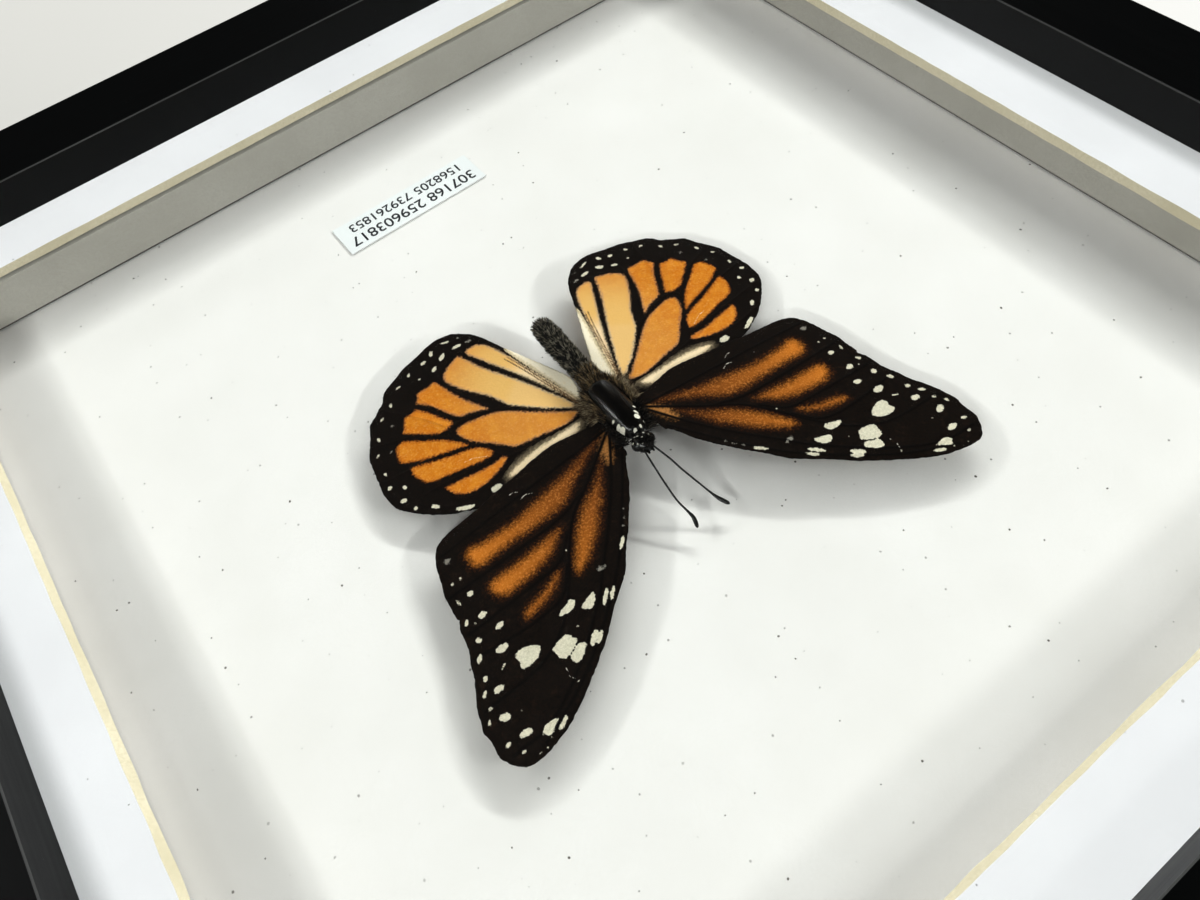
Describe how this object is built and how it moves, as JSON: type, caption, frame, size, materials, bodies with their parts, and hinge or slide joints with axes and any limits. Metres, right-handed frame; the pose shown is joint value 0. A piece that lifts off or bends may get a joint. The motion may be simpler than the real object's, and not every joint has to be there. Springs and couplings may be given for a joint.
{
  "type": "framed butterfly specimen",
  "caption": "Set butterfly with spread wings on a white board inside a square glazed shadow-box frame with a bevelled window mat.",
  "frame": {"origin": "centre of the frame's back plane, the frame lying on its back", "axes": "+X to the reader's right, +Y to the top edge of the frame and the insect's head, +Z out through the glass"},
  "size_m": [0.236, 0.236, 0.03],
  "materials": {
    "black_paint": "satin black painted wood moulding",
    "clear_glass": "clear picture glass",
    "mat_board": "white mat board with a cream core",
    "liner_board": "pale grey card strips",
    "white_board": "smooth white board",
    "hardboard": "brown hardboard",
    "point_steel": "thin bent steel",
    "hanger_brass": "brassed steel",
    "label_paper": "smooth white paper",
    "riser_foam": "white polyethylene foam",
    "forewing_scales": "dry wing membrane covered in scales",
    "hindwing_scales": "dry wing membrane covered in scales",
    "thorax_cuticle": "dark shiny cuticle with hair at the sides",
    "abdomen_hair": "dark short hair",
    "antenna_cuticle": "black cuticle"
  },
  "bodies": {
    "root": {"rail_top": "black_paint", "rail_left": "black_paint", "rail_bottom": "black_paint", "rail_right": "black_paint", "glass_pane": "clear_glass", "mat_window": "mat_board", "liner_top": "liner_board", "liner_bottom": "liner_board", "liner_left": "liner_board", "liner_right": "liner_board", "mount_board": "white_board", "back_panel": "hardboard", "flexi_point_1": "point_steel", "flexi_point_2": "point_steel", "flexi_point_3": "point_steel", "flexi_point_4": "point_steel", "flexi_point_5": "point_steel", "flexi_point_6": "point_steel", "flexi_point_7": "point_steel", "flexi_point_8": "point_steel", "sawtooth_hanger": "hanger_brass", "hanger_nail_1": "hanger_brass", "hanger_nail_2": "hanger_brass", "label": "label_paper", "riser_block": "riser_foam", "thorax": "thorax_cuticle", "abdomen": "abdomen_hair", "head": "thorax_cuticle", "antenna_left": "antenna_cuticle", "antenna_right": "antenna_cuticle", "forewing_right": "forewing_scales", "forewing_left": "forewing_scales", "hindwing_right": "hindwing_scales", "hindwing_left": "hindwing_scales"}
  },
  "joints": []
}
